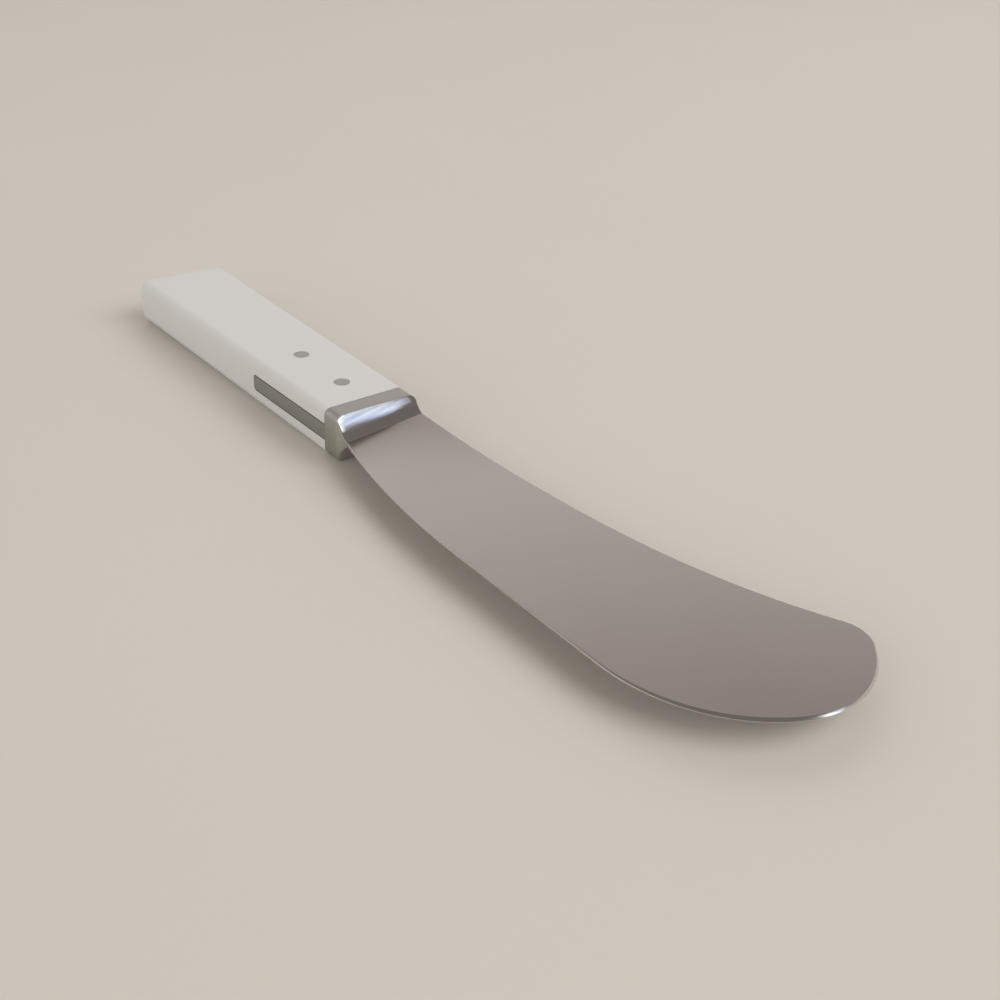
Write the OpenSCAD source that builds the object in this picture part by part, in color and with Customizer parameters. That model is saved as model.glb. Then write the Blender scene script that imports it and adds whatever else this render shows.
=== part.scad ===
// Butter knife with a broad upswept blade, a forged bolster and a riveted handle.
// It lies on its side, as it is laid on a table, with the handle's underside at z = 0.
// x = 0 is the joint of handle and bolster, the tip points to +x and the spine is on the +y side.

/* [Blade] */
// Length of the blade from the bolster's crease to the tip
blade_len = 120; // [100:1:150]
// Height of the spine above the centre line where the blade starts
spine_root = 11; // [9:0.1:12]
// Depth of the edge below the centre line where the blade starts
edge_root = 10.4; // [8:0.1:12]
// Greatest depth of the belly below the centre line
belly_drop = 16.6; // [14:0.1:20]
// Distance from the crease to where the belly runs level
belly_run = 48; // [35:1:60]
// Radius of the round in which the belly rises towards the tip
belly_r = 34; // [26:0.5:40]
// Radius of the nose, the foremost round
nose_r = 21.5; // [15:0.5:25]
// Radius of the corner between the nose and the spine
corner_r = 6.5; // [4:0.1:12]
// Direction in which the belly's round gives way to the nose, in degrees below the x axis
nose_start = 24.9; // [5:0.1:45]
// Direction in which the nose gives way to the corner, in degrees above the x axis
nose_end = 48; // [20:0.5:60]
// Slope of the spine where the blade starts, in degrees
spine_slope = 4.5; // [0:0.1:8]
// Slope of the spine where it meets the corner, in degrees
sweep_slope = 26.3; // [15:0.1:32]

/* [Blade thickness] */
// Thickness of the spine at the crease
spine_root_t = 4.3; // [3:0.1:5]
// Thickness of the spine past the ramp
spine_t = 1.4; // [1.2:0.1:2.4]
// Thickness of the plate behind the ground edge of the nose
nose_t = 1.1; // [0.8:0.1:1.6]
// Thickness of the edge at the crease
edge_root_t = 1.3; // [0.8:0.1:2]
// Thickness of the edge past the ramp, which runs on round the nose
edge_t = 0.35; // [0.3:0.05:0.7]
// Slope of the bevel that is ground round the nose, in degrees
bevel_angle = 36; // [25:1:50]
// Length of the ramp in which the root thins out
ramp_len = 30; // [5:1:60]
// Largest radius of the blade's edges, and of those where the bolster's front is hollowed out
blade_edge_r = 0.3; // [0.1:0.05:0.5]

/* [Bolster] */
// Length of the bolster from the handle to the crease
bolster_len = 8.8; // [7:0.1:14]
// Length of the band that runs level with the handle
band_len = 4.6; // [3:0.1:6]
// How straight the hollow front runs into the crease, where 0 is tangent
crease_share = 0.3; // [0:0.05:0.4]

/* [Handle] */
// Length of the handle
handle_len = 95; // [80:1:120]
// Width of the handle at the bolster
handle_w = 22; // [21:0.5:26]
// Width of the handle at the butt
butt_w = 25.8; // [20:0.2:30]
// Thickness of the handle and the bolster
handle_t = 11.8; // [9:0.1:15]
// Radius of the long edges of the bolster and of the handle beside it
edge_r = 1.75; // [1:0.05:2.2]
// Radius of the handle's long edges at the butt
butt_edge_r = 3; // [1:0.1:4]
// Radius of the butt's edges
butt_r = 2.6; // [1.5:0.1:4]

/* [Tang] */
// Length of the half tang on the centre line
tang_len = 33.5; // [32.5:0.5:50]
// Thickness of the tang
tang_t = 4.2; // [3:0.1:5]
// Radius of the round end of the tang and of the cutter that saws its slot
tang_end_r = 40; // [30:1:80]
// Radius of the edges at the tang's end
tang_edge_r = 0.9; // [0.4:0.1:1.4]

/* [Rivets] */
// Diameter of each rivet
rivet_d = 3.8; // [3:0.1:4.5]
// Distance of the front rivet behind the bolster
front_rivet_x = 9.8; // [6:0.1:14]
// Distance of the rear rivet behind the bolster
rear_rivet_x = 28.2; // [22:0.1:28.4]

/* [Fit] */
// Clearance round the tang and the rivets
fit_gap = 0.04; // [0.02:0.01:0.1]

/* [Hidden] */

$fn = 96;
// Steps along each stretch of a loft, and in each of its rounded edges
front_steps = 9;
run_steps = 26;
tip_steps = 36;
butt_steps = 6;
edge_steps = 6;
// Share of each outline path that the even run takes before the closer steps round the tip
run_share = 0.8;
// Share of each path left open where the two paths meet at the foremost point
close_share = 0.004;
// Share of the belly's path at which the plate starts to thicken, and its bevel to widen, towards the nose
bevel_share = 0.56;
// How the bevel widens from its start, where 1 is evenly and less is sooner
bevel_rise = 0.7;
// Half the stretch of a path over which its direction is taken
aim_share = 0.001;
// Most of a piece's half thickness that an edge radius may take
round_share = 0.45;
// How far the tang reaches into the bolster, and how far a cut passes the surface
tang_seat = 2.4;
overrun = 1;

// Centres of the three rounds at the tip, each tangent to the next inside it
nose_c = [bolster_len + blade_len - nose_r, belly_r - belly_drop - (belly_r - nose_r) * sin(nose_start)];
belly_c = nose_c - (belly_r - nose_r) * heading(-nose_start);
corner_c = nose_c + (nose_r - corner_r) * heading(nose_end);
// Both ends of the spine's curve
spine_a = [bolster_len, spine_root];
spine_b = corner_c + corner_r * heading(90 + sweep_slope);
// The long arc in which the edge drops from its root to the level belly
drop_r = (pow(belly_run, 2) + pow(belly_drop - edge_root, 2)) / (2 * (belly_drop - edge_root));
drop_c = [bolster_len + belly_run, drop_r - belly_drop];
drop_angle = asin(belly_run / drop_r);

// Lengths of the stretches of both paths, so that their points keep step
handle_reach = (spine_b.x - spine_a.x) / 3;
spine_run = norm(spine_b - spine_a);
corner_run = arc_length(corner_r, 90 + sweep_slope - nose_end);
spine_path = spine_run + corner_run + arc_length(nose_r, nose_end);
drop_run = arc_length(drop_r, drop_angle);
level_run = belly_c.x - drop_c.x;
round_run = arc_length(belly_r, 90 - nose_start);
belly_path = drop_run + level_run + round_run + arc_length(nose_r, nose_start);

function heading(a) = [cos(a), sin(a)];
function arc_length(r, a) = r * a * PI / 180;
function arc_angle(r, run) = run / r * 180 / PI;

// Point on a cubic curve whose ends have the two given slopes
function curve(t) =
    let (
        a1 = spine_a + handle_reach * [1, tan(spine_slope)],
        b1 = spine_b - handle_reach * [1, tan(sweep_slope)]
    )
    pow(1 - t, 3) * spine_a + 3 * pow(1 - t, 2) * t * a1
        + 3 * (1 - t) * pow(t, 2) * b1 + pow(t, 3) * spine_b;

// Point at a share s of the way from the crease to the tip, along the spine
function spine_point(s) =
    let (run = s * spine_path)
    run < spine_run ? curve(run / spine_run)
    : run < spine_run + corner_run
        ? corner_c + corner_r * heading(90 + sweep_slope - arc_angle(corner_r, run - spine_run))
    : nose_c + nose_r * heading(nose_end - arc_angle(nose_r, run - spine_run - corner_run));

// The same along the belly
function belly_point(s) =
    let (run = s * belly_path, bend = run - drop_run - level_run)
    run < drop_run ? drop_c + drop_r * heading(270 - drop_angle + arc_angle(drop_r, run))
    : bend < 0 ? [drop_c.x + run - drop_run, -belly_drop]
    : bend < round_run ? belly_c + belly_r * heading(270 + arc_angle(belly_r, bend))
    : nose_c + nose_r * heading(arc_angle(nose_r, bend - round_run) - nose_start);

// Direction across the blade, away from its outline, at a share s of either path
function toward(p, q) = (q - p) / norm(q - p);
function spine_in(s) =
    let (d = toward(spine_point(s - aim_share), spine_point(s + aim_share))) [d.y, -d.x];
function belly_in(s) =
    let (d = toward(belly_point(s - aim_share), belly_point(s + aim_share))) [-d.y, d.x];

// How far the ground edge has grown at a share s, from 0 where it starts to 1 at the foremost point
function ground(s, start) = pow(sin(90 * max(0, s - start) / (1 - start)), bevel_rise);
nose_share = 1 - arc_length(nose_r, nose_end) / spine_path;

// Half thickness of the plate at its spine and behind its edge
function ramp(p) = pow(max(0, 1 - (p.x - bolster_len) / ramp_len), 2);
function spine_half(p, s) =
    (spine_t + (nose_t - spine_t) * s + (spine_root_t - spine_t) * ramp(p)) / 2;
function edge_half(p, s) =
    (edge_t + (nose_t - edge_t) * ground(s, bevel_share) + (edge_root_t - edge_t) * ramp(p)) / 2;

// Height left of the bolster's hollow front at a share u of its length
function hollow(u) = (1 - u) * (1 - (1 - crease_share) * u);
// Edge radius that is left where the front is ground down to a half thickness
function left_r(half) = max(blade_edge_r, edge_r + half - handle_t / 2);

// Points over one upper edge of a section, from the outline at p inwards to the flat.
// The edge is a round where flat is 0, and a straight bevel where it is 1.
function rim(p, inward, half, run, drop, flat = 0) =
    [
        for (i = [0:edge_steps])
            let (
                t = i / edge_steps,
                along = p + run * (flat * t + (1 - flat) * (1 - cos(90 * t))) * inward,
                fall = drop * (1 - flat * t - (1 - flat) * sin(90 * t))
            )
            [along.x, along.y, half - fall]
    ];
function rounded(p, inward, half, r_max = edge_r) =
    let (r = min(r_max, round_share * half))
    rim(p, inward, half, r, r);
function bevelled(p, inward, half, g) =
    let (r = (1 - g) * min(blade_edge_r, round_share * half), drop = g * (half - edge_t / 2))
    rim(p, inward, half, r + drop / tan(bevel_angle), r + drop, g);

function reversed(list) = [for (i = [len(list) - 1:-1:0]) list[i]];
// Closed ring across a piece, from its rims on the spine's and on the edge's side
function ring(spine_rim, edge_rim) =
    let (top = concat(spine_rim, reversed(edge_rim)))
    concat(top, [for (q = reversed(top)) [q.x, q.y, -q.z]]);

// Solid through a list of rings with as many points each.
// The last ring is closed across, from its spine side to its edge side, so that its rims run on.
module loft(rings) {
    n = len(rings[0]);
    last = len(rings) - 1;
    sides = [
        for (k = [0:last - 1], i = [0:n - 1])
            let (
                j = (i + 1) % n,
                p = k * n + i,
                q = k * n + j
            )
            each [[p, p + n, q + n], [p, q + n, q]]
    ];
    start = [for (i = [0:n - 1]) i];
    end = [
        for (i = [0:n / 2 - 2])
            let (
                near = last * n + (i + n / 4 * 3) % n,
                near_next = last * n + (i + 1 + n / 4 * 3) % n,
                far = last * n + (n / 4 * 3 - 1 - i),
                far_next = last * n + (n / 4 * 3 - 2 - i)
            )
            each [[near_next, near, far], [near_next, far, far_next]]
    ];
    polyhedron([for (r = rings) each r], concat(sides, [start], end));
}

// Half width of the handle at a place x, which is negative behind the bolster
function half_w(x) = (handle_w - (butt_w - handle_w) * x / handle_len) / 2;
function handle_ring(x, inset) =
    let (
        w = half_w(x) - inset,
        h = handle_t / 2 - inset,
        r = edge_r - (butt_edge_r - edge_r) * x / handle_len
    )
    ring(rounded([x, w], [0, -1], h, r), rounded([x, -w], [0, 1], h, r));

// Places the knife's middle plane at half the handle's thickness above the table
module lay_down() {
    translate([0, 0, handle_t / 2])
        children();
}

module bolster_and_blade() {
    front = [
        for (i = [0:front_steps - 1])
            let (
                u = i / front_steps,
                g = hollow(u),
                x = band_len + (bolster_len - band_len) * u,
                a = [x, spine_root + (handle_w / 2 - spine_root) * g],
                b = [x, -edge_root - (handle_w / 2 - edge_root) * g],
                spine_h = (spine_root_t + (handle_t - spine_root_t) * g) / 2,
                edge_h = (edge_root_t + (handle_t - edge_root_t) * g) / 2
            )
            ring(
                rounded(a, [0, -1], spine_h, left_r(spine_h)),
                rounded(b, [0, 1], edge_h, left_r(edge_h))
            )
    ];
    shares = [
        for (i = [0:run_steps - 1]) run_share * i / run_steps,
        for (i = [0:tip_steps]) run_share + (1 - run_share - close_share) * i / tip_steps
    ];
    blade = [
        for (s = shares)
            let (a = spine_point(s), b = belly_point(s))
            ring(
                bevelled(a, spine_in(s), spine_half(a, s), ground(s, nose_share)),
                bevelled(b, belly_in(s), edge_half(b, s), ground(s, bevel_share))
            )
    ];
    loft(concat([handle_ring(0, 0)], front, blade));
}

// Flat disc with a rounded rim, whose edge is the tang's end and the cutter of its slot
module end_disc(gap) {
    r = tang_end_r + gap;
    t = tang_t + 2 * gap;
    translate([tang_end_r - tang_len, 0, 0])
        rotate_extrude() {
            translate([0, -t / 2])
                square([r - tang_edge_r, t]);
            translate([0, tang_edge_r - t / 2])
                square([r, t - 2 * tang_edge_r]);
            for (side = [-1, 1])
                translate([r - tang_edge_r, side * (t / 2 - tang_edge_r)])
                    circle(tang_edge_r, $fn = 48);
        }
}

// Half tang as wide as the handle, with its root narrowed inside the bolster
module tang() {
    root = handle_w / 2 - edge_r;
    rear = half_w(-tang_len);
    intersection() {
        end_disc(0);
        translate([0, 0, -tang_t])
            linear_extrude(height = 2 * tang_t)
                polygon([
                    [-tang_len, -rear], [0, -handle_w / 2], [tang_seat, -root],
                    [tang_seat, root], [0, handle_w / 2], [-tang_len, rear]
                ]);
    }
}

// Slot for the tang, sawn right through the handle's front end
module slot() {
    intersection() {
        end_disc(fit_gap);
        translate([-tang_len - overrun, -butt_w, -tang_t])
            cube([tang_len + 2 * overrun, 2 * butt_w, 2 * tang_t]);
    }
}

// Straight holes through handle or tang for both rivets
module rivet_holes() {
    for (x = [front_rivet_x, rear_rivet_x])
        translate([-x, 0, -handle_t])
            cylinder(h = 2 * handle_t, d = rivet_d + 2 * fit_gap);
}

// Rivet peened and ground flush with both faces of the handle
module rivet(x) {
    translate([-x, 0, 0])
        cylinder(h = handle_t, d = rivet_d, center = true);
}

module blade() {
    color([0.66, 0.63, 0.61])
        lay_down()
            difference() {
                union() {
                    bolster_and_blade();
                    tang();
                }
                rivet_holes();
            }
}

module handle() {
    butt = [
        for (i = [0:butt_steps])
            let (a = 90 * i / butt_steps)
            handle_ring(butt_r - handle_len - butt_r * sin(a), butt_r * (1 - cos(a)))
    ];
    color([0.88, 0.87, 0.86])
        lay_down()
            difference() {
                loft([for (i = [butt_steps:-1:0]) butt[i], handle_ring(-fit_gap, 0)]);
                slot();
                rivet_holes();
            }
}

module front_rivet() {
    color([0.58, 0.58, 0.58])
        lay_down()
            rivet(front_rivet_x);
}

module rear_rivet() {
    color([0.58, 0.58, 0.58])
        lay_down()
            rivet(rear_rivet_x);
}

blade();
handle();
front_rivet();
rear_rivet();
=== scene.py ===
# %% [markdown]
# # A butter knife
#
# The knife is made of four pieces: one steel forging that is blade, bolster and half tang at once,
# a white plastic handle with a slot sawn into its front end, and two steel rivets that hold them.
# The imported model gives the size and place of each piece. This script gives them their looks.

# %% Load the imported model
import math

import bmesh
import bpy
from mathutils import Matrix, Vector


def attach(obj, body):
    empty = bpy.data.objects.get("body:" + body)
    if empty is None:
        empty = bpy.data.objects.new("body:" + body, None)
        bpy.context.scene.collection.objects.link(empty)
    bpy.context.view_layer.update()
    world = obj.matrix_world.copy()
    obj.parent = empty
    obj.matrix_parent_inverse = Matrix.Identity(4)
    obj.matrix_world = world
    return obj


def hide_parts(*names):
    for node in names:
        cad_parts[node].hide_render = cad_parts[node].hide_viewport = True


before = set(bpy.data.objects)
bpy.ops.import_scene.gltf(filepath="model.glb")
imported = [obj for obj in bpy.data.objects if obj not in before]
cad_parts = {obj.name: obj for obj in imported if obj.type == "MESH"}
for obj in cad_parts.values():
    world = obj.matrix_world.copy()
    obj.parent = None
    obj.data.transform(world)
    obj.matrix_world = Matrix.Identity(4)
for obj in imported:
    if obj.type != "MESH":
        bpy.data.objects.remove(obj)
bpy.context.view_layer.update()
MM = 0.001
print("pieces of the packed model:", sorted(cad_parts))

# %% [markdown]
# ## Camera
#
# The knife points forwards and to the right: the camera stands beyond the tip, on the side of the
# edge, and looks back along the knife. It could be aimed with a Track To constraint, but three turns
# one after the other say plainly how a camera is held: turned, tipped down, and tilted.

# %% Place the camera
CAMERA_PLACE = Vector((189.6, -127.2, 127.5)) * MM
HEADING = math.radians(137.77)
TIP_DOWN = math.radians(31.98)
TILT = math.radians(4.29)
LENS, SENSOR_WIDTH = 39.0, 36
NEAR_CLIP = 0.01


def turned_camera():
    data = bpy.data.cameras.new("camera")
    data.lens = LENS
    data.sensor_width = SENSOR_WIDTH
    data.clip_start = NEAR_CLIP
    camera = bpy.data.objects.new("camera", data)
    bpy.context.scene.collection.objects.link(camera)
    turn = Matrix.Rotation(HEADING - math.pi / 2, 4, "Z")
    dip = Matrix.Rotation(math.pi / 2 - TIP_DOWN, 4, "X")
    tilt = Matrix.Rotation(TILT, 4, "Z")
    camera.matrix_world = Matrix.Translation(CAMERA_PLACE) @ turn @ dip @ tilt
    return camera


bpy.context.scene.camera = turned_camera()
print("camera at", [round(c, 4) for c in CAMERA_PLACE], "with a lens of", LENS, "mm")

# %% [markdown]
# ## Shader sums
#
# A material is a graph of nodes, and most of the nodes only do sums. To write `1 - mask * 0.5`
# instead of three nodes and four links, a small class wraps a socket and overloads the operators.
# Any other kind of node comes from one method, `node`.


# %% A class for shader sums
class Wire:
    """One output of a node in a node tree."""

    def __init__(self, tree, socket):
        self.tree = tree
        self.socket = socket

    def node(self, kind, inputs, output=0, stops=None, **settings):
        """Adds a node: its settings first, then the values or wires of its sockets."""
        made = self.tree.nodes.new(kind)
        for name, value in settings.items():
            setattr(made, name, value)
        if stops:
            ramp = made.color_ramp.elements
            while len(ramp) < len(stops):
                ramp.new(0.5)
            for element, (place, colour) in zip(ramp, stops):
                element.position = place
                element.color = (*colour, 1)
        for name, value in inputs.items():
            if isinstance(value, Wire):
                self.tree.links.new(value.socket, made.inputs[name])
            else:
                made.inputs[name].default_value = value
        return Wire(self.tree, made.outputs[output])

    def sum_of(self, operation, first, second):
        made = self.tree.nodes.new("ShaderNodeMath")
        made.operation = operation
        for socket, value in zip(made.inputs, (first, second)):
            if isinstance(value, Wire):
                self.tree.links.new(value.socket, socket)
            else:
                socket.default_value = value
        return Wire(self.tree, made.outputs[0])

    def __add__(self, other):
        return self.sum_of("ADD", self, other)

    def __radd__(self, other):
        return self.sum_of("ADD", other, self)

    def __sub__(self, other):
        return self.sum_of("SUBTRACT", self, other)

    def __rsub__(self, other):
        return self.sum_of("SUBTRACT", other, self)

    def __mul__(self, other):
        return self.sum_of("MULTIPLY", self, other)

    def __gt__(self, other):
        return self.sum_of("GREATER_THAN", self, other)

    def __lt__(self, other):
        return self.sum_of("LESS_THAN", self, other)

    def between(self, low, high):
        """0 below low, 1 above high, and a smooth rise in between."""
        return self.node(
            "ShaderNodeMapRange",
            {"Value": self, "From Min": low, "From Max": high},
            interpolation_type="SMOOTHSTEP",
        )

    def colour(self, dark, light):
        """The colour dark where this wire is 0, and light where it is 1."""
        made = self.tree.nodes.new("ShaderNodeMix")
        made.data_type = "RGBA"
        for socket, value in zip((made.inputs[0], made.inputs[6], made.inputs[7]), (self, dark, light)):
            if isinstance(value, Wire):
                self.tree.links.new(value.socket, socket)
            else:
                socket.default_value = (*value, 1)
        return Wire(self.tree, made.outputs[2])


def new_material(name):
    """A material's Principled shader, and the place on the piece as a wire."""
    material = bpy.data.materials.new(name)
    material.use_nodes = True
    tree = material.node_tree
    shader = tree.nodes["Principled BSDF"]
    coordinates = tree.nodes.new("ShaderNodeTexCoord")
    return material, shader, Wire(tree, coordinates.outputs["Object"])


def along(place, axis):
    """One coordinate of a place."""
    return place.node("ShaderNodeSeparateXYZ", {"Vector": place}, output=axis)


def noise(place, scale, detail):
    return place.node("ShaderNodeTexNoise", {"Vector": place, "Scale": scale, "Detail": detail})


def shaded(colour, share):
    return [min(1, part * share) for part in colour]


def dress(shader, colour, roughness, height, strength, distance):
    """Plugs a colour, a roughness and a fine bump into a Principled shader."""
    bump = height.node("ShaderNodeBump", {"Height": height, "Strength": strength, "Distance": distance})
    for name, value in (("Base Color", colour), ("Roughness", roughness), ("Normal", bump)):
        if isinstance(value, Wire):
            value.tree.links.new(value.socket, shader.inputs[name])
        else:
            shader.inputs[name].default_value = value


print("shader sums are ready")

# %% [markdown]
# ## Floor, room and lamps
#
# Polished steel has hardly a colour of its own. What it shows is the room. So the room comes before
# the steel: a pale wall all round at the height of the eye, a darker ceiling, and one tall window
# with the sky in it. The window stands low beyond the tip on the spine's side, where the bright
# band on the bolster says that it is.
#
# The floor could be a plane, but its corners would stand out against the wall. A wide disc ends in
# an even line all round.

# %% Pale floor
FLOOR_COLOUR = (0.68, 0.65, 0.605)
FLOOR_PATCHES = 0.985, 1.015
FLOOR_ROUGHNESS = 0.55
FLOOR_RADIUS, FLOOR_CORNERS = 2.4, 96


def pale_floor():
    mesh = bpy.data.meshes.new("floor")
    shape = bmesh.new()
    bmesh.ops.create_circle(shape, cap_ends=True, segments=FLOOR_CORNERS, radius=FLOOR_RADIUS)
    shape.to_mesh(mesh)
    shape.free()
    floor = bpy.data.objects.new("floor", mesh)
    bpy.context.scene.collection.objects.link(floor)
    material, shader, place = new_material("floor_paint")
    paint = noise(place, 9.0, 3.0).colour(*(shaded(FLOOR_COLOUR, share) for share in FLOOR_PATCHES))
    dress(shader, paint, FLOOR_ROUGHNESS, noise(place, 420.0, 2.0), 0.12, 0.0004)
    mesh.materials.append(material)


pale_floor()
print("floor of", FLOOR_RADIUS, "m")

# %% [markdown]
# ## Room
#
# Real walls with furniture would put detail into the steel that nobody can check. A world of four
# plain levels does as well: the colour of the light changes with the height that it comes from. One
# side is darker, so a share of the sideways direction is added to the height.

# %% The room as the steel sees it
WALL_LIGHT = (0.72, 0.68, 0.635)
MIDDLE_LIGHT = (0.61, 0.57, 0.54)
UPPER_WALL_LIGHT = (0.39, 0.33, 0.31)
CEILING_LIGHT = (0.215, 0.195, 0.18)
LEFT_SHARE = 0.3


def room():
    world = bpy.data.worlds.new("room")
    world.use_nodes = True
    bpy.context.scene.world = world
    tree = world.node_tree
    direction = Wire(tree, tree.nodes.new("ShaderNodeTexCoord").outputs["Generated"])
    light = direction.node(
        "ShaderNodeValToRGB",
        {"Fac": along(direction, "Z") + along(direction, "X") * LEFT_SHARE},
        stops=[
            (0.25, WALL_LIGHT), (0.39, MIDDLE_LIGHT), (0.54, UPPER_WALL_LIGHT), (0.66, CEILING_LIGHT),
        ],
    )
    tree.links.new(light.socket, tree.nodes["Background"].inputs["Color"])


room()
print("room with a wall of", WALL_LIGHT)

# %% [markdown]
# ## Window
#
# The bright band in the bolster's hollow and the glint on the nose are pictures of one window. One
# side of it, seen aslant, shows in the hollow. The rest shows on the nose only, where the bevel
# looks further round the room. A lamp could stand in for it, but a card with a material can have
# clouds and a soft rim. Two cards face the knife, one for the hollow and one for the nose.

# %% Two cards for the window
WINDOW_DISTANCE = 1.3
HOLLOW_LIGHT, HOLLOW_CARD, HOLLOW_SLANT = 2.15, (0.19, 0.30), 2.5
NOSE_LIGHT, NOSE_CARD = 2.2, (0.29, 0.62)
TOP_BLUR, TOP_BLUE = 0.085, (0.14, 0.13, 0.26)
CLOUD_RIM = 0.43, 0.57


def facing(turn_deg, rise_deg, distance):
    """Where something stands that faces the knife from a turn about it and a rise over the floor."""
    turn, rise = math.radians(turn_deg), math.radians(rise_deg)
    away = Vector((math.cos(turn) * math.cos(rise), math.sin(turn) * math.cos(rise), math.sin(rise)))
    return Matrix.Translation(away * distance) @ away.to_track_quat("Z", "Y").to_matrix().to_4x4()


def window_card(name, size, slant, turn_deg, rise_deg):
    """An upright card with a slanting top, as an oblique view makes of a window."""
    mesh = bpy.data.meshes.new(name)
    shape = bmesh.new()
    bmesh.ops.create_grid(shape, x_segments=1, y_segments=1, size=0.5)
    bmesh.ops.scale(shape, vec=(*size, 1), verts=shape.verts)
    bmesh.ops.transform(shape, matrix=Matrix.Shear("YZ", 4, (slant, 0)), verts=shape.verts)
    shape.to_mesh(mesh)
    shape.free()
    card = bpy.data.objects.new(name, mesh)
    bpy.context.scene.collection.objects.link(card)
    card.matrix_world = facing(turn_deg, rise_deg, WINDOW_DISTANCE)
    return card


def sky(name, size, slant, light, cloud_colour, sky_colour):
    """Bright sky between hazy clouds, fading into the blue of the window's upper edge."""
    material, shader, place = new_material(name)
    x, y = along(place, "X"), along(place, "Y")
    below_top = size[1] / 2 - (y - x * slant)
    bright = noise(place, 26.0, 3.0).between(*CLOUD_RIM).colour(cloud_colour, sky_colour)
    seen = below_top.between(0, TOP_BLUR).colour(TOP_BLUE, bright)
    place.tree.links.new(seen.socket, shader.inputs["Emission Color"])
    shader.inputs["Emission Strength"].default_value = light
    shader.inputs["Base Color"].default_value = (0, 0, 0, 1)
    shader.inputs["Specular IOR Level"].default_value = 0.0
    return material


HOLLOW_COLOURS = (0.265, 0.335, 0.52), (0.79, 0.89, 1.0)
NOSE_COLOURS = (0.85, 0.9, 0.97), (0.93, 0.97, 1.0)
for name, size, slant, place_deg, light, colours in (
    ("window", HOLLOW_CARD, HOLLOW_SLANT, (29.7, 18.9), HOLLOW_LIGHT, HOLLOW_COLOURS),
    ("window_side", NOSE_CARD, 0, (20, 17), NOSE_LIGHT, NOSE_COLOURS),
):
    card = window_card(name, size, slant, *place_deg)
    card.data.materials.append(sky(name + "_sky", size, slant, light, *colours))
    print(name, "of", size, "m stands at a turn and rise of", place_deg, "degrees")

# %% [markdown]
# ## Soft light
#
# The window alone would throw hard shadows. In a real room the walls send most of the light back,
# from everywhere. Three large lamps do that here. They light plastic and floor but can't be seen in
# the steel, which has the room itself to show.

# %% Soft light
def soft_lamp(name, turn_deg, rise_deg, distance, size, light, colour):
    data = bpy.data.lights.new(name, "AREA")
    data.shape = "RECTANGLE"
    data.size, data.size_y = size
    data.color = colour
    data.energy = light * math.pi * size[0] * size[1]
    made = bpy.data.objects.new(name, data)
    bpy.context.scene.collection.objects.link(made)
    made.matrix_world = facing(turn_deg, rise_deg, distance)
    made.visible_glossy = False


LAMPS = (
    ("key_light", 35, 42, 3.2, (3.0, 2.4), 3.2, (1.0, 0.985, 0.95)),
    ("fill_light", -75, 22, 3.2, (4.0, 2.4), 1.15, (1.0, 1.0, 0.95)),
    ("back_light", 138, 35, 4.5, (3.0, 2.0), 1.3, (1.0, 0.98, 0.94)),
)
for lamp in LAMPS:
    soft_lamp(*lamp)
    print(lamp[0], "stands", lamp[3], "m away")

# %% [markdown]
# ## Outline of the blade
#
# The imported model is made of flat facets, and polished steel would show every one of them. So the
# forging is lofted once more here, with the same outline and more than three times as many sections.
# The outline could be traced by hand with a curve object, but it was drawn with rounds in the first
# place: a long arc for the belly, then three rounds, each tangent to the next, and a cubic spine.
# Each round is given by its centre, so the next centre follows from the one before.

# %% Sizes of the blade, in millimetres and radians
BLADE_LEN, BOLSTER_LEN, BAND_LEN = 120, 8.8, 4.6
SPINE_ROOT, EDGE_ROOT, BELLY_DROP = 11, 10.4, 16.6
BELLY_RUN, BELLY_R, NOSE_R, CORNER_R = 48, 34, 21.5, 6.5
NOSE_START, NOSE_END = math.radians(24.9), math.radians(48)
SPINE_SLOPE, SWEEP_SLOPE = math.radians(4.5), math.radians(26.3)


def towards(angle):
    return Vector((math.cos(angle), math.sin(angle)))


nose_c = Vector((
    BOLSTER_LEN + BLADE_LEN - NOSE_R,
    BELLY_R - BELLY_DROP - (BELLY_R - NOSE_R) * math.sin(NOSE_START),
))
belly_c = nose_c - (BELLY_R - NOSE_R) * towards(-NOSE_START)
corner_c = nose_c + (NOSE_R - CORNER_R) * towards(NOSE_END)
spine_a = Vector((BOLSTER_LEN, SPINE_ROOT))
spine_b = corner_c + CORNER_R * towards(math.pi / 2 + SWEEP_SLOPE)
belly_fall = BELLY_DROP - EDGE_ROOT
drop_r = (BELLY_RUN ** 2 + belly_fall ** 2) / (2 * belly_fall)
drop_c = Vector((BOLSTER_LEN + BELLY_RUN, drop_r - BELLY_DROP))
drop_angle = math.asin(BELLY_RUN / drop_r)
print("the long arc of the belly has a radius of", round(drop_r), "mm")

# %% [markdown]
# ## Walking along the outline
#
# A section of the blade joins a point of the spine to a point of the belly. Sections at equal x
# would bunch up at the tip, where the outline runs across. So both sides are walked by their own
# length instead: a share of 0 is at the bolster, and at a share of 1 both reach the foremost point.

# %% Points along spine and belly
spine_run = (spine_b - spine_a).length
corner_run = CORNER_R * (math.pi / 2 + SWEEP_SLOPE - NOSE_END)
spine_path = spine_run + corner_run + NOSE_R * NOSE_END
drop_run = drop_r * drop_angle
level_run = belly_c.x - drop_c.x
round_run = BELLY_R * (math.pi / 2 - NOSE_START)
belly_path = drop_run + level_run + round_run + NOSE_R * NOSE_START
reach = (spine_b.x - spine_a.x) / 3
knots = [
    spine_a,
    spine_a + reach * Vector((1, math.tan(SPINE_SLOPE))),
    spine_b - reach * Vector((1, math.tan(SWEEP_SLOPE))),
    spine_b,
]


def on_round(centre, radius, angle):
    """A point of a round, and the direction from it into the blade."""
    return centre + radius * towards(angle), -towards(angle)


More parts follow.
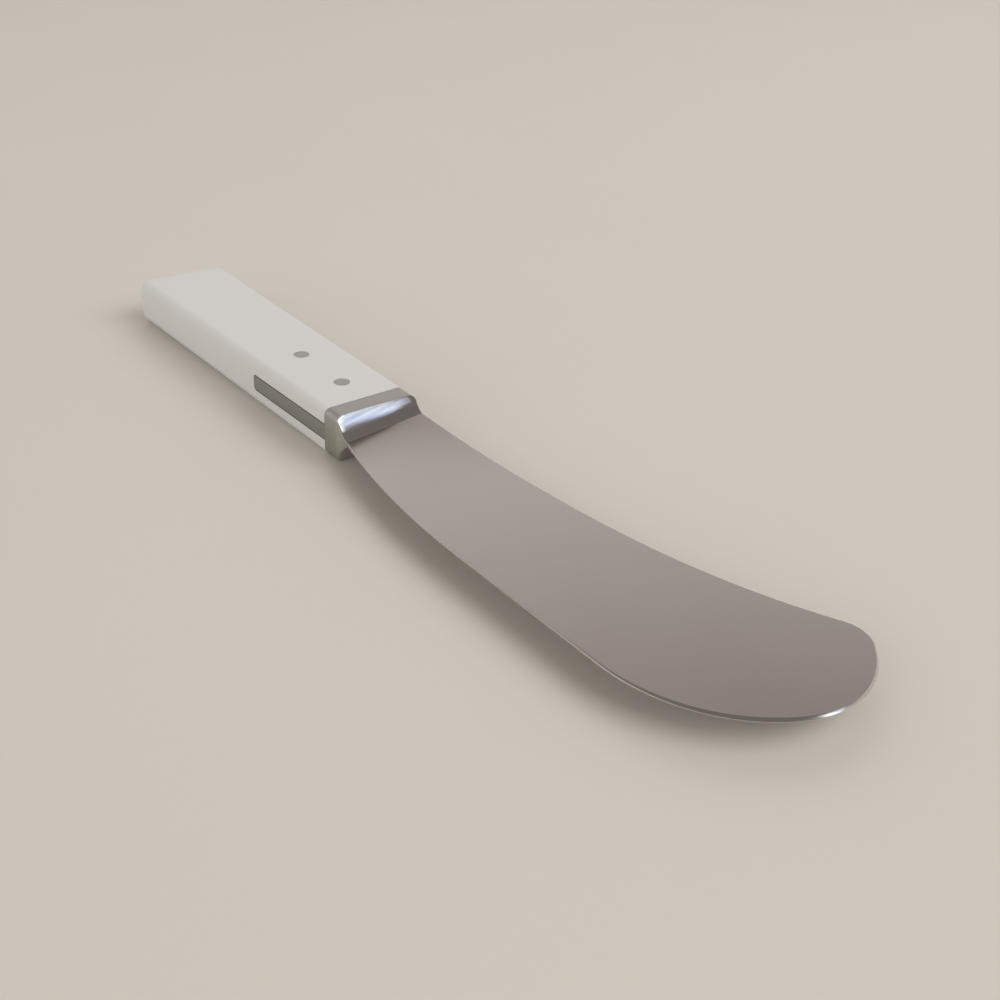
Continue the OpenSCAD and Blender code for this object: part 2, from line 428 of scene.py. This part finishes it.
def spine_at(share):
    """The point at a share of the spine's path, and the direction into the blade."""
    run = share * spine_path
    if run < spine_run:
        t = run / spine_run
        first = [a.lerp(b, t) for a, b in zip(knots, knots[1:])]
        second = [a.lerp(b, t) for a, b in zip(first, first[1:])]
        forward = (second[1] - second[0]).normalized()
        return second[0].lerp(second[1], t), Vector((forward.y, -forward.x))
    run -= spine_run
    if run < corner_run:
        return on_round(corner_c, CORNER_R, math.pi / 2 + SWEEP_SLOPE - run / CORNER_R)
    return on_round(nose_c, NOSE_R, NOSE_END - (run - corner_run) / NOSE_R)


def belly_at(share):
    """The same along the belly."""
    run = share * belly_path
    if run < drop_run:
        return on_round(drop_c, drop_r, -math.pi / 2 - drop_angle + run / drop_r)
    run -= drop_run
    if run < level_run:
        return Vector((drop_c.x + run, -BELLY_DROP)), Vector((0, 1))
    run -= level_run
    if run < round_run:
        return on_round(belly_c, BELLY_R, -math.pi / 2 + run / BELLY_R)
    return on_round(nose_c, NOSE_R, (run - round_run) / NOSE_R - NOSE_START)


print("spine", round(spine_path, 1), "mm and belly", round(belly_path, 1), "mm along the curve")

# %% [markdown]
# ## Sections
#
# Every section is a closed ring with the same number of points: a rounded or ground edge at the
# spine, a flat, the same at the belly, and all of it again underneath. The edge could come from a
# Bevel modifier, but its width changes all along the blade, so each ring brings its own edge.

# %% Rings of points across the knife
EDGE_STEPS = 8
COLUMNS = 14
HANDLE_T = 11.8
EDGE_R = 1.75
TANG_T = 4.2
ROUND_SHARE = 0.45
BLADE_EDGE_R = 0.3
tang_level = (TANG_T / 2) / (HANDLE_T / 2 - EDGE_R)


def rim(point, inward, half, run, drop, flat=0.0, turn=math.pi / 2):
    """Points over an upper edge, from the outline inwards: a round, or a bevel where flat is 1."""
    points = []
    for step in range(EDGE_STEPS + 1):
        t = step / EDGE_STEPS
        across = flat * t + (1 - flat) * (1 - math.cos(t * turn)) / (1 - math.cos(turn))
        fall = flat * (1 - t) + (1 - flat) * (1 - math.sin(t * turn) / math.sin(turn))
        place = point + run * across * inward
        points.append(Vector((place.x, place.y, half - drop * fall)))
    return points


def rounded(point, inward, half, largest=EDGE_R):
    radius = min(largest, ROUND_SHARE * half)
    return rim(point, inward, half, radius, radius)


def ground_down(point, inward, half):
    """What is left of the band's round edge where the front is ground down to a half thickness."""
    left = EDGE_R + half - HANDLE_T / 2
    if left < BLADE_EDGE_R:
        return rounded(point, inward, half, BLADE_EDGE_R)
    turn = math.asin(min(1, left / EDGE_R))
    return rim(point, inward, half, EDGE_R * (1 - math.cos(turn)), left, turn=turn)


def at_level(point, share):
    return Vector((point.x, point.y, point.z * share))


def ring(spine_rim, belly_rim, columns):
    """A closed ring through both rims, with a few points across the flats."""
    flat = [spine_rim[-1].lerp(belly_rim[-1], i / columns) for i in range(1, columns)]
    top = spine_rim + flat + belly_rim[::-1]
    top = [at_level(top[0], tang_level)] + top + [at_level(top[-1], tang_level)]
    middle = Vector((0, 0, HANDLE_T / 2))
    return [(point + middle) * MM for point in top + [at_level(p, -1) for p in top[::-1]]]


print("a ring of the blade has", 2 * (2 * EDGE_STEPS + COLUMNS + 3), "points")

# %% [markdown]
# ## The loft
#
# A list of rings becomes a surface. The rings could be bridged one by one, but a sheet of squares
# is quicker: create_grid makes it with a row for each ring, every point goes to its place, and the
# seam closes when the doubles merge. At the tip both rims meet point by point, so the last ring
# folds flat and closes the same way.

# %% Wrap a sheet round the rings
MERGED, SLIVER = 0.001 * MM, 0.0005 * MM


def wrapped(rings):
    shape = bmesh.new()
    steps, around = len(rings) - 1, len(rings[0])
    bmesh.ops.create_grid(shape, x_segments=steps, y_segments=around, size=0.5)
    for vert in shape.verts:
        row = rings[round((vert.co.x + 0.5) * steps)]
        vert.co = row[round((vert.co.y + 0.5) * around) % around]
    bmesh.ops.remove_doubles(shape, verts=shape.verts, dist=MERGED)
    bmesh.ops.dissolve_degenerate(shape, edges=shape.edges, dist=SLIVER)
    return shape


def capped(shape):
    """Closes each open end with one face, and turns all faces outwards."""
    bmesh.ops.edgeloop_fill(shape, edges=[e for e in shape.edges if e.is_boundary])
    bmesh.ops.recalc_face_normals(shape, faces=shape.faces)
    return shape


print("rings can be wrapped and capped")

# %% [markdown]
# ## The ground bevel
#
# From the middle of the belly to the round of the nose a bevel is ground onto the edge. It grows
# gently, and at the nose it gets steeper and a little convex, as a blade does that is rolled over
# the wheel by hand. One angle for all of it would be simpler, but then the glint of the window
# would sit further back on the belly than it does.

# %% Thickness and bevel
HANDLE_W = 22
SPINE_ROOT_T, SPINE_T, NOSE_T, EDGE_ROOT_T, EDGE_T = 4.3, 1.4, 1.1, 1.3, 0.35
RAMP_LEN, EDGE_RAMP_LEN = 30, 12
CREASE_SHARE = 0.3
CREASE_START = -0.006
BEVEL_ANGLE, NOSE_BEVEL_ANGLE = math.radians(36), math.radians(50)
STEEP_START, STEEP_END = 0.85, 0.96
BEVEL_START = 0.56
BEVEL_RISE = 0.7
BEVEL_FLATNESS = 0.8
PLATE_START = 0.3
NOSE_EDGE_T = 0.08
nose_share = 1 - NOSE_R * NOSE_END / spine_path


def ground(share, start):
    """How far the bevel has grown, from 0 at its start to 1 at the foremost point."""
    return math.sin(math.pi / 2 * max(0.0, share - start) / (1 - start)) ** BEVEL_RISE


def gently(share, start, end):
    """0 before start and 1 past end, with a gentle rise in between."""
    t = min(1.0, max(0.0, (share - start) / (end - start)))
    return t * t * (3 - 2 * t)


def bevelled(point, inward, half, share, start):
    """An edge of the blade: round as far as start, then ground, and steeper at the nose."""
    grown = ground(share, start)
    steep = gently(share, STEEP_START, STEEP_END)
    slope = math.tan(BEVEL_ANGLE + (NOSE_BEVEL_ANGLE - BEVEL_ANGLE) * steep)
    radius = (1 - grown) * min(BLADE_EDGE_R, ROUND_SHARE * half)
    drop = grown * (half - NOSE_EDGE_T / 2)
    return rim(point, inward, half, radius + drop / slope, radius + drop, grown * BEVEL_FLATNESS)


print("the bevel starts", round(BEVEL_START * belly_path, 1), "mm along the belly")

# %% [markdown]
# ## Bolster and blade
#
# The bolster starts as a band of the handle's own section. Then its front is hollowed out: width
# and thickness fall steeply at first and run out almost level into the blade. The blade is a wedge
# from spine to edge, thicker again at the nose. A box cut by a cylinder would give a hollow too,
# but not one that runs into the wedge of the blade without a step.

# %% Sections of blade and bolster
UP_IN, DOWN_IN = Vector((0, 1)), Vector((0, -1))


def blade_section(share):
    """Outline points, directions inward and half thicknesses at a share of the paths."""
    (spine, spine_in), (belly, belly_in) = spine_at(share), belly_at(share)
    spine_ramp, belly_ramp = (
        max(0.0, 1 - (point.x - BOLSTER_LEN) / length) ** 2
        for point, length in ((spine, RAMP_LEN), (belly, EDGE_RAMP_LEN))
    )
    spine_half = (SPINE_T + (NOSE_T - SPINE_T) * share + (SPINE_ROOT_T - SPINE_T) * spine_ramp) / 2
    plate = gently(share, PLATE_START, 1)
    belly_half = (EDGE_T + (NOSE_T - EDGE_T) * plate + (EDGE_ROOT_T - EDGE_T) * belly_ramp) / 2
    return (spine, spine_in, spine_half), (belly, belly_in, belly_half)


def blade_ring(share):
    spine, belly = blade_section(share)
    return ring(bevelled(*spine, share, nose_share), bevelled(*belly, share, BEVEL_START), COLUMNS)


def front_ring(u):
    """A ring of the bolster's hollow front, from 0 at the band to 1 at the crease."""
    left = (1 - u) * (1 - (1 - CREASE_SHARE) * u)
    rims = []
    for (point, _, half), side, inward in zip(
        blade_section(CREASE_START), (HANDLE_W / 2, -HANDLE_W / 2), (DOWN_IN, UP_IN)
    ):
        place = Vector((point.x + (BAND_LEN - point.x) * (1 - u), point.y + (side - point.y) * left))
        rims.append(ground_down(place, inward, half + (HANDLE_T / 2 - half) * left))
    return ring(*rims, COLUMNS)


print("the spine at the crease is", round(2 * blade_section(CREASE_START)[0][2], 2), "mm thick")

# %% Loft bolster and blade
FRONT_STEPS, RUN_STEPS, TIP_STEPS = 28, 90, 130
RUN_SHARE = 0.8

band = [
    ring(
        rounded(Vector((x, HANDLE_W / 2)), DOWN_IN, HANDLE_T / 2),
        rounded(Vector((x, -HANDLE_W / 2)), UP_IN, HANDLE_T / 2),
        COLUMNS,
    )
    for x in (0, BAND_LEN / 2)
]
front = [front_ring(i / FRONT_STEPS) for i in range(FRONT_STEPS)]
run = [blade_ring(CREASE_START + (RUN_SHARE - CREASE_START) * i / RUN_STEPS) for i in range(RUN_STEPS)]
tip = [blade_ring(RUN_SHARE + (1 - RUN_SHARE) * i / TIP_STEPS) for i in range(TIP_STEPS + 1)]
forging = capped(wrapped(band + front + run + tip))
print("bolster and blade:", len(forging.faces), "faces")

# %% [markdown]
# ## The half tang
#
# The tang grows out of the bolster's back. Two cuts split the back face into three, the middle one
# is extruded backwards, and its end is bent to the arc that the slot's cutter leaves. A separate
# slab joined with a Boolean would do too, but it would leave a seam where the steel has none.

# %% Extrude the tang
TANG_LEN = 33.5
TANG_END_R = 40
TANG_EDGE_R = 0.9
BUTT_W = 25.8
HANDLE_LEN = 95
BACKWARDS = -0.99


def half_width(x):
    """Half width of the handle at x, which is negative behind the bolster."""
    return (HANDLE_W - (BUTT_W - HANDLE_W) * x / HANDLE_LEN) / 2


def nearest(shape, place):
    return min(shape.verts, key=lambda vert: (vert.co - place * MM).length)


# The back face is split above and below the tang.
for z in (HANDLE_T / 2 - TANG_T / 2, HANDLE_T / 2 + TANG_T / 2):
    corners = [nearest(forging, Vector((0, side * HANDLE_W / 2, z))) for side in (-1, 1)]
    bmesh.ops.connect_verts(forging, verts=corners)
back = min(
    (face for face in forging.faces if face.normal.x < BACKWARDS),
    key=lambda face: abs(face.calc_center_median().z - HANDLE_T / 2 * MM),
)
end = bmesh.ops.extrude_discrete_faces(forging, faces=[back])["faces"][0]
bmesh.ops.translate(forging, verts=end.verts, vec=(-TANG_LEN * MM, 0, 0))
print("the tang is extruded by", TANG_LEN, "mm")

# %% [markdown]
# ## Round end of the tang
#
# The end is as round as the slot, whose end is the arc of the cutter. The faces across the tang are
# divided, and each point of the end moves back to the arc. A bevel softens the two long rims.

# %% Bend the tang's end
TANG_CUTS, TANG_EDGE_STEPS = 24, 6
NEARLY = 0.9


def apart(edge, axis):
    """How far the two ends of an edge are from each other along an axis."""
    return abs(edge.verts[0].co[axis] - edge.verts[1].co[axis])


across = [edge for edge in forging.edges if apart(edge, 1) > NEARLY * HANDLE_W * MM]
bmesh.ops.subdivide_edges(forging, edges=across, cuts=TANG_CUTS, use_grid_fill=True)
tang_c = TANG_END_R - TANG_LEN
side_x = tang_c - math.sqrt(TANG_END_R ** 2 - half_width(-TANG_LEN) ** 2)
tang_verts = [vert for vert in forging.verts if vert.co.x < -NEARLY * TANG_LEN * MM]
for vert in tang_verts:
    vert.co.y *= half_width(side_x) / half_width(0)
    vert.co.x = tang_c * MM - math.sqrt((TANG_END_R * MM) ** 2 - vert.co.y ** 2)
end_edges = [
    edge for edge in forging.edges
    if all(vert in tang_verts for vert in edge.verts) and apart(edge, 2) < 0.1 * MM
]
bmesh.ops.bevel(
    forging, geom=end_edges, offset=TANG_EDGE_R * MM, segments=TANG_EDGE_STEPS,
    profile=0.5, affect="EDGES", material=-1,
)
bmesh.ops.recalc_face_normals(forging, faces=forging.faces)
print("half tang reaches", round(-min(v.co.x for v in forging.verts) / MM, 1), "mm back")

# %% [markdown]
# ## The handle
#
# The handle is a block that widens and rounds off towards the butt. Its long edges are rounder at
# the butt than at the bolster. A box with beveled edges has one radius everywhere, so the block is
# lofted like the bolster, from rings that are drawn in where the butt rounds off.

# %% Loft the block
BUTT_R = 2.6
BUTT_EDGE_R = 3
BUTT_STEPS = 10
FIT_GAP = 0.04


def handle_ring(x, inset):
    """A ring of the handle, drawn in by inset."""
    side = half_width(x) - inset
    half = HANDLE_T / 2 - inset
    radius = EDGE_R - (BUTT_EDGE_R - EDGE_R) * x / HANDLE_LEN
    return ring(
        rounded(Vector((x, side)), DOWN_IN, half, radius),
        rounded(Vector((x, -side)), UP_IN, half, radius),
        1,
    )


butt_angles = [math.pi / 2 * i / BUTT_STEPS for i in range(BUTT_STEPS, -1, -1)]
butt = [
    handle_ring(BUTT_R - HANDLE_LEN - BUTT_R * math.sin(angle), BUTT_R * (1 - math.cos(angle)))
    for angle in butt_angles
]
block = capped(wrapped(butt + [handle_ring(-FIT_GAP, 0)]))
print("handle block:", len(block.faces), "faces")

# %% [markdown]
# ## Slot, holes and rivets
#
# The real handle is machined: a disc cutter saws the slot for the tang from the front, and a drill
# makes the two holes through handle and tang. The same is done here with Boolean cuts, because only
# they cut through any surface. Cutters are discs, 0.04 mm larger all round than what goes in.

# %% Tools for machining
RIVET_D = 3.8
FRONT_RIVET_X, REAR_RIVET_X = 9.8, 28.2
DISC_CORNERS, SAW_CORNERS, DISC_EDGE_STEPS = 96, 360, 5


def disc(radius, height, x, edge_r=0.0, corners=DISC_CORNERS):
    """An upright cylinder at x on the centre line, with both rims rounded if edge_r is given."""
    shape = bmesh.new()
    bmesh.ops.create_cone(
        shape, cap_ends=True, segments=corners,
        radius1=radius * MM, radius2=radius * MM, depth=height * MM,
    )
    if edge_r:
        rims = [edge for edge in shape.edges if apart(edge, 2) < 0.01 * MM]
        bmesh.ops.bevel(
            shape, geom=rims, offset=edge_r * MM, segments=DISC_EDGE_STEPS,
            profile=0.5, affect="EDGES", material=-1,
        )
    bmesh.ops.translate(shape, verts=shape.verts, vec=Vector((x, 0, HANDLE_T / 2)) * MM)
    return shape


def as_object(name, shape):
    mesh = bpy.data.meshes.new(name)
    shape.to_mesh(mesh)
    shape.free()
    made = bpy.data.objects.new(name, mesh)
    bpy.context.scene.collection.objects.link(made)
    return made


def machined(name, shape, cutters):
    """The shape less its cutters, as an object without modifiers."""
    piece = as_object(name, shape)
    tools = [as_object("cutter", cutter) for cutter in cutters]
    for tool in tools:
        cut = piece.modifiers.new("cut", "BOOLEAN")
        cut.operation = "DIFFERENCE"
        cut.solver = "EXACT"
        cut.object = tool
    ready = piece.evaluated_get(bpy.context.evaluated_depsgraph_get())
    before, piece.data = piece.data, bpy.data.meshes.new_from_object(ready)
    piece.modifiers.clear()
    bpy.data.meshes.remove(before)
    for tool in tools:
        bpy.data.meshes.remove(tool.data)
    piece.data.name = name
    return piece


print("cutters leave a gap of", FIT_GAP, "mm")


# %% Saw and drill
def drills():
    return [disc(RIVET_D / 2 + FIT_GAP, 2 * HANDLE_T, -x) for x in (FRONT_RIVET_X, REAR_RIVET_X)]


saw = disc(TANG_END_R + FIT_GAP, TANG_T + 2 * FIT_GAP, tang_c, TANG_EDGE_R, SAW_CORNERS)
handle = machined("handle_body", block, [saw] + drills())
knife = machined("forged_blade", forging, drills())
rivets = [
    machined(name, disc(RIVET_D / 2, HANDLE_T, -x), [])
    for name, x in (("front_rivet_pin", FRONT_RIVET_X), ("rear_rivet_pin", REAR_RIVET_X))
]
print("handle:", len(handle.data.polygons), "faces, forging:", len(knife.data.polygons), "faces")

# %% [markdown]
# ## Broken edges
#
# No edge of a real piece is perfectly sharp. A polisher's wheel takes a few hundredths of a
# millimetre off each, and that is what catches the light along a joint. So each edge that still
# turns sharply gets a small bevel. Smooth shading then needs the flats to win over the bevels,
# which is what Weighted Normal does. At the nose the flat is cut into faces as small as those of the
# bevel, so there the ridge between the two is marked as sharp wherever they meet. Where three
# bevels run together two points can end up in one place, and the faces of no area between them are
# taken out again.

# %% Break the edges and shade smooth
FORGING_BREAK, HANDLE_BREAK, RIVET_BREAK = 0.14, 0.1, 0.05
BREAK_STEPS = 3
BROKEN_ANGLE, SHARP_ANGLE, RIDGE_ANGLE = math.radians(55), math.radians(17), math.radians(4)
RIDGE_START = 95
LEVEL = 0.998
crease_x = blade_section(CREASE_START)[0][0].x * MM


def on_ridge(edge):
    """Whether an edge lies at the nose and has one of the blade's flats beside it."""
    level = any(abs(face.normal.z) > LEVEL for face in edge.link_faces)
    return level and min(vert.co.x for vert in edge.verts) > RIDGE_START * MM


def broken_edges(piece, width):
    """Bevels the sharp edges of a piece and shades the rest smooth, but for edges in the crease."""
    shape = bmesh.new()
    shape.from_mesh(piece.data)
    bmesh.ops.remove_doubles(shape, verts=shape.verts, dist=SLIVER)
    sharp = [edge for edge in shape.edges if edge.is_manifold and edge.calc_face_angle() > BROKEN_ANGLE]
    bmesh.ops.bevel(
        shape, geom=sharp, offset=width * MM, segments=BREAK_STEPS,
        profile=0.5, affect="EDGES", material=-1, clamp_overlap=True,
    )
    bmesh.ops.dissolve_degenerate(shape, edges=shape.edges, dist=SLIVER)
    shape.normal_update()
    for face in shape.faces:
        face.smooth = True
    for edge in shape.edges:
        in_crease = all(abs(vert.co.x - crease_x) < 0.01 * MM for vert in edge.verts)
        limit = RIDGE_ANGLE if on_ridge(edge) else SHARP_ANGLE
        edge.smooth = not in_crease and edge.calc_face_angle(0) < limit
    open_edges = sum(not edge.is_manifold for edge in shape.edges)
    shape.to_mesh(piece.data)
    shape.free()
    piece.modifiers.new("flats first", "WEIGHTED_NORMAL").keep_sharp = True
    print(piece.name, "edges broken:", len(sharp), "open edges:", open_edges)


broken_edges(knife, FORGING_BREAK)
broken_edges(handle, HANDLE_BREAK)
for rivet in rivets:
    broken_edges(rivet, RIVET_BREAK)

# %% [markdown]
# ## Handing over
#
# Each finished piece takes the place of the imported piece of the same name. All four belong to one
# rigid body, since nothing moves on this knife.

# %% Hand the pieces over
for piece, node, slot in (
    (knife, "blade", "steel"),
    (handle, "handle", "plastic"),
    (rivets[0], "front_rivet", "rivet_steel"),
    (rivets[1], "rear_rivet", "rivet_steel"),
):
    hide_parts(node)
    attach(piece, "root")
    print(piece.name, "takes the place of", node)

# %% [markdown]
# ## Steel
#
# The forging has one steel and several finishes. The blade is satin, with fine lines across it. The
# hollow was polished brighter with a round wheel, so it is smoother. The band of the bolster and
# the tang are ground together with the plastic, which leaves them dull. Shade is painted into the
# colour as well: the tang and the flank on the belly's side are tinted darker and greener for the
# shaded floor that they reflect, and a thin dark line of painted shade runs along the tang's seam.
# Separate materials on sets of faces would do, but the limits run across faces, so one material
# tells the places apart by their coordinates.

# %% Steel
MIDDLE = HANDLE_T / 2 * MM
CREASE_DEPTH = 10.15
HOLLOW_START, HOLLOW_END = (4.5 * MM, 4.6 * MM), (8.7 * MM, 8.9 * MM)
BAND_FADE, TANG_FADE = 0.2 * MM, 0.03 * MM
JOINT_EDGE = 1.75 * MM, 1.95 * MM
HOLLOW_RUN_END = 8 * MM
FLANK_OVERLAP = 0.1 * MM
# The band's tint is its dull grind. The tang's tint is painted shade, darker and greener for the shaded
# floor that it reflects.
BAND_TINT, TANG_SHADE_TINT = (0.465, 0.455, 0.45), (0.37, 0.39, 0.37)
# Both are painted shade: the first for the shaded floor that the flank reflects, the second for the seam
# along the tang.
FLANK_SHADE_TINT, SEAM_SHADE_TINT = (0.45, 0.455, 0.42), (0.12, 0.11, 0.10)
CLOUD_SHARES = 0.96, 1.03
LINE_SCALE = 5200, 90, 400
HOLLOW_POLISH, BAND_DULL, TANG_DULL = 0.11, 0.06, 0.12
FINE_BUMP = 0.00002


def steel(name, colour, roughness):
    material, shader, place = new_material(name)
    shader.inputs["Metallic"].default_value = 1.0
    x, z = along(place, "X"), along(place, "Z")
    hollow = x.between(*HOLLOW_START) * (1 - x.between(*HOLLOW_END))
    tang = 1 - x.between(-TANG_FADE, 0)
    off_middle = place.node("ShaderNodeMath", {0: z - MIDDLE}, operation="ABSOLUTE")
    # A thin line of painted shade along the tang's seam, at its edges where it goes into the slot.
    joint = tang * off_middle.between(*JOINT_EDGE)
    lines = place.node("ShaderNodeMapping", {"Vector": place, "Scale": LINE_SCALE})
    grain, cloud = noise(lines, 1.0, 3.0), noise(place, 60.0, 3.0)
    bright = cloud.colour(*(shaded(colour, share) for share in CLOUD_SHARES))
    band = 1 - x.between(BAND_LEN * MM - BAND_FADE, BAND_LEN * MM)
    # Painted shade: the tang is tinted darker and greener for the shaded floor that it reflects.
    dull_band_shaded_tang = tang.colour(band.colour(bright, BAND_TINT), TANG_SHADE_TINT)
    # The flank is the outermost skin on the belly's side, whose outline draws in along the hollow.
    # There the colour gets painted shade, darker and greener for the shaded floor that it reflects.
    u = place.node("ShaderNodeMapRange", {"Value": x, "From Min": BAND_LEN * MM, "From Max": HOLLOW_RUN_END})
    left = (1 - u) * (1 - u * (1 - CREASE_SHARE))
    belly_y = (CREASE_DEPTH + left * (HANDLE_W / 2 - CREASE_DEPTH)) * MM
    side = (along(place, "Y") < FLANK_OVERLAP - belly_y) * (x > 0) * (x < BOLSTER_LEN * MM)
    tint = joint.colour(side.colour(dull_band_shaded_tang, FLANK_SHADE_TINT), SEAM_SHADE_TINT)
    rough = roughness + (grain - 0.5) * 0.05 + (cloud - 0.5) * 0.06 - hollow * HOLLOW_POLISH
    rough = rough + band * BAND_DULL + tang * TANG_DULL
    dress(shader, tint, rough, grain, 0.1, FINE_BUMP)
    return material


blade_steel = steel("blade_steel", (0.62, 0.592, 0.575), 0.2)
print("steel has", len(blade_steel.node_tree.nodes), "nodes")

# %% [markdown]
# ## Rivets
#
# The rivets are a plainer, greyer steel, peened over and then ground flush by a coarse belt. A fine
# noise in colour and roughness stands for the marks of the belt, too small to be seen one by one.

# %% Rivet steel
def rivet_finish():
    material, shader, place = new_material("belt_ground_steel")
    shader.inputs["Metallic"].default_value = 1.0
    grain = noise(place, 2600.0, 3.0)
    tint = grain.colour((0.47, 0.47, 0.47), (0.53, 0.53, 0.53))
    dress(shader, tint, 0.33 + (grain - 0.5) * 0.2, grain, 0.2, FINE_BUMP)
    return material


rivet_steel = rivet_finish()
print("rivet steel has", len(rivet_steel.node_tree.nodes), "nodes")

# %% [markdown]
# ## White plastic
#
# The handle is a white plastic, ground and buffed to a low gloss. It isn't perfectly even: a soft
# cloud changes its white and its gloss a little. Just behind the bolster a thin dark line of
# painted shade shows the seam at the joint. A groove would be too small to catch a shadow.

# %% White plastic
PLASTIC_JOINT = -0.22 * MM, -0.12 * MM
PLASTIC_SEAM_SHADE = (0.22, 0.20, 0.17)


def plastic():
    material, shader, place = new_material("white_plastic")
    cloud, fine = noise(place, 40.0, 4.0), noise(place, 1500.0, 2.0)
    white = cloud.colour((0.675, 0.675, 0.672), (0.70, 0.70, 0.697))
    # Painted shade: a thin dark line just behind the bolster, in the seam at the joint.
    tint = along(place, "X").between(*PLASTIC_JOINT).colour(white, PLASTIC_SEAM_SHADE)
    rough = 0.38 + (cloud - 0.5) * 0.1 + (fine - 0.5) * 0.08
    dress(shader, tint, rough, fine, 0.12, FINE_BUMP)
    return material


white_plastic = plastic()
print("white plastic has", len(white_plastic.node_tree.nodes), "nodes")

# %% Materials onto the pieces
finishes = ((knife, blade_steel), (handle, white_plastic), *((pin, rivet_steel) for pin in rivets))
for piece, material in finishes:
    piece.data.materials.clear()
    piece.data.materials.append(material)
    print(piece.name, "is made of", material.name)

# %% [markdown]
# ## Finish
#
# The picture is shown with the Standard view, which leaves its levels as they are.

# %% Standard view
bpy.context.scene.view_settings.view_transform = "Standard"
